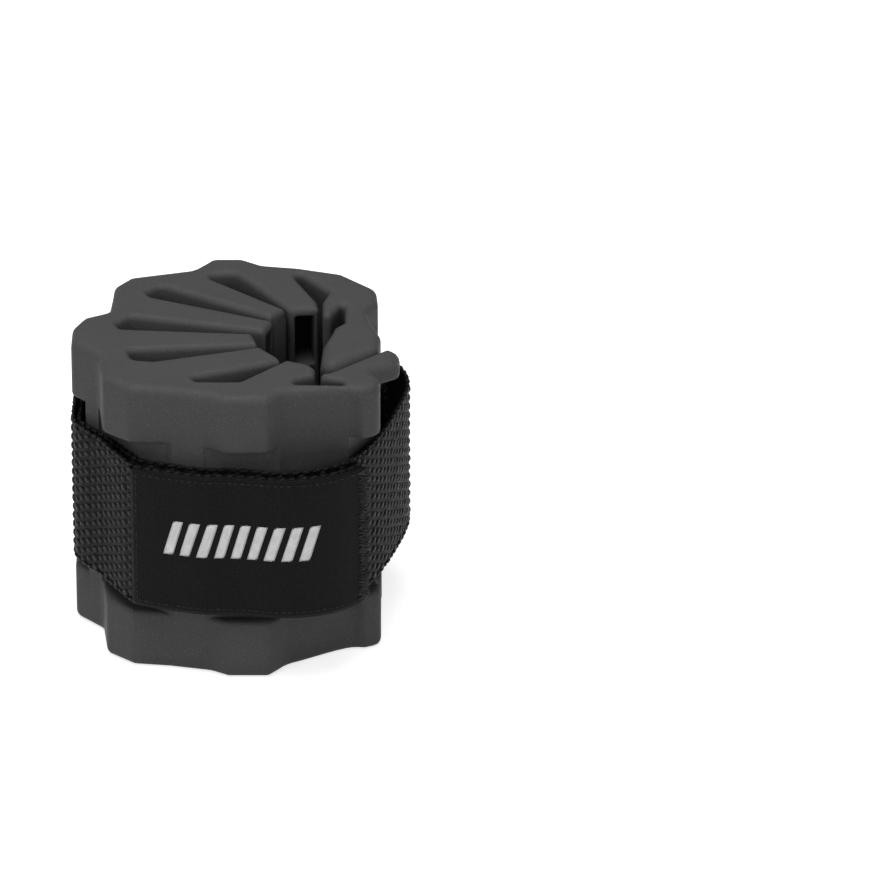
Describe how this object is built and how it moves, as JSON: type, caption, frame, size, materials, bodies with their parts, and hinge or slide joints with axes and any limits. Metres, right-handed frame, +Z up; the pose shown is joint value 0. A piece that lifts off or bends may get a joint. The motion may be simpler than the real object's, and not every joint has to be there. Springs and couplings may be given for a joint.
{
  "type": "bike frame protector pad",
  "caption": "Rolled moulded foam pad with wedge teeth round an open bore and a hook-and-loop webbing strap in its waist, to cushion a bike frame on a carrier.",
  "frame": {"origin": "middle of the footprint's bounding box, on the surface the pad stands on", "axes": "+Z up along the bore, -Y towards the label and the viewer, +X towards the seam"},
  "size_m": [0.1092, 0.114, 0.1],
  "materials": {
    "rubber_foam": "matt, fine grain",
    "webbing": "coarse plain-woven webbing",
    "loop_tape": "loop pile",
    "hook_tape": "moulded hooks",
    "label_cloth": "close-woven label"
  },
  "bodies": {
    "root": {"pad_body": "rubber_foam", "strap_webbing": "webbing", "loop_tape": "loop_tape", "hook_tape": "hook_tape", "label_patch": "label_cloth"}
  },
  "joints": []
}
